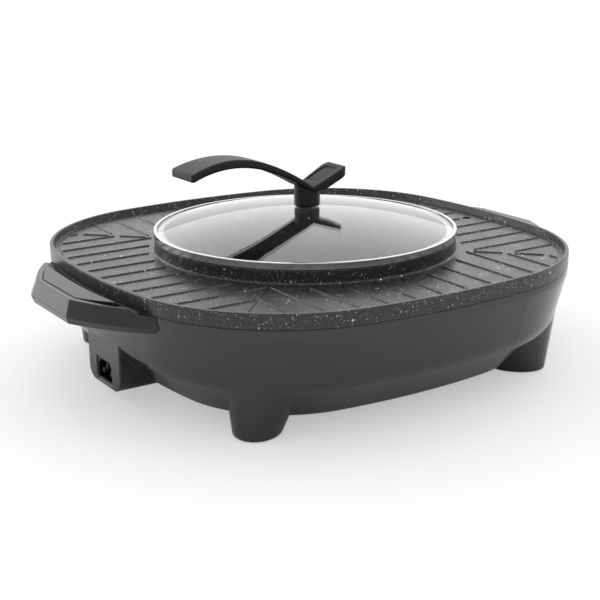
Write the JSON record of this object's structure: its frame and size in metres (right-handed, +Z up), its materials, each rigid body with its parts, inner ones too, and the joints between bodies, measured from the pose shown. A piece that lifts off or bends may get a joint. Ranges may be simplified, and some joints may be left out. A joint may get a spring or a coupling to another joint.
{
  "type": "hot pot grill combo",
  "caption": "Square electric table grill with a round pot well in the middle, a domed glass lid with a long arched handle, side grips and stub feet.",
  "frame": {"origin": "centre of the footprint, on the surface that the foot pads stand on", "axes": "+Z up, +X along the line through the two side handles, away from the inlet box, -Y towards the user's front"},
  "size_m": [0.4786, 0.4096, 0.1845],
  "materials": {
    "housing_plastic": "satin moulded",
    "handle_plastic": "satin moulded",
    "panel_plastic": "satin moulded",
    "lid_handle_plastic": "satin moulded",
    "granite_coating": "cast, dark speckled coating",
    "lid_glass": "clear polished",
    "band_steel": "polished",
    "pad_rubber": "matte",
    "cover_steel": "powder coated",
    "screw_steel": "plated",
    "shield_steel": "plain sheet",
    "heater_steel": "annealed",
    "thermostat_ceramic": "unglazed",
    "inlet_plastic": "moulded",
    "pin_brass": "nickel plated",
    "block_plastic": "moulded",
    "wire_sleeve": "silicone sleeve"
  },
  "bodies": {
    "base": {"housing_shell": "housing_plastic", "foot_pad_front_left": "pad_rubber", "foot_pad_front_right": "pad_rubber", "foot_pad_back_left": "pad_rubber", "foot_pad_back_right": "pad_rubber", "bottom_cover": "cover_steel", "bottom_cover_screws": "screw_steel", "handle_body_left": "handle_plastic", "handle_body_right": "handle_plastic", "handle_cover_left": "panel_plastic", "handle_cover_right": "panel_plastic", "handle_screws": "screw_steel", "heat_shield": "shield_steel", "heat_shield_screws": "screw_steel", "pot_heater": "heater_steel", "grill_heater": "heater_steel", "pot_heater_clips": "shield_steel", "grill_heater_clips": "shield_steel", "thermostat": "thermostat_ceramic", "thermostat_bracket": "shield_steel", "thermostat_rivets": "screw_steel", "thermal_fuse": "thermostat_ceramic", "inlet_body": "inlet_plastic", "inlet_pin_live": "pin_brass", "inlet_pin_neutral": "pin_brass", "inlet_pin_earth": "pin_brass", "terminal_block": "block_plastic", "live_wire": "wire_sleeve", "neutral_wire": "wire_sleeve", "earth_wire": "wire_sleeve", "pot_heater_wires": "wire_sleeve", "grill_heater_wires": "wire_sleeve", "thermostat_wires": "wire_sleeve", "fuse_wires": "wire_sleeve"},
    "pan": {"grill_pan": "granite_coating"},
    "lid": {"lid_glass": "lid_glass", "lid_band": "band_steel", "lid_handle": "lid_handle_plastic", "lid_gasket": "pad_rubber", "lid_washer": "screw_steel", "lid_screw": "screw_steel"}
  },
  "joints": [
    {"name": "pan_lift", "type": "slide", "parent": "base", "child": "pan", "axis": [0, 0, 1], "range_m": [0, 0.08]},
    {"name": "lid_lift", "type": "slide", "parent": "pan", "child": "lid", "axis": [0, 0, 1], "range_m": [0, 0.06]}
  ]
}
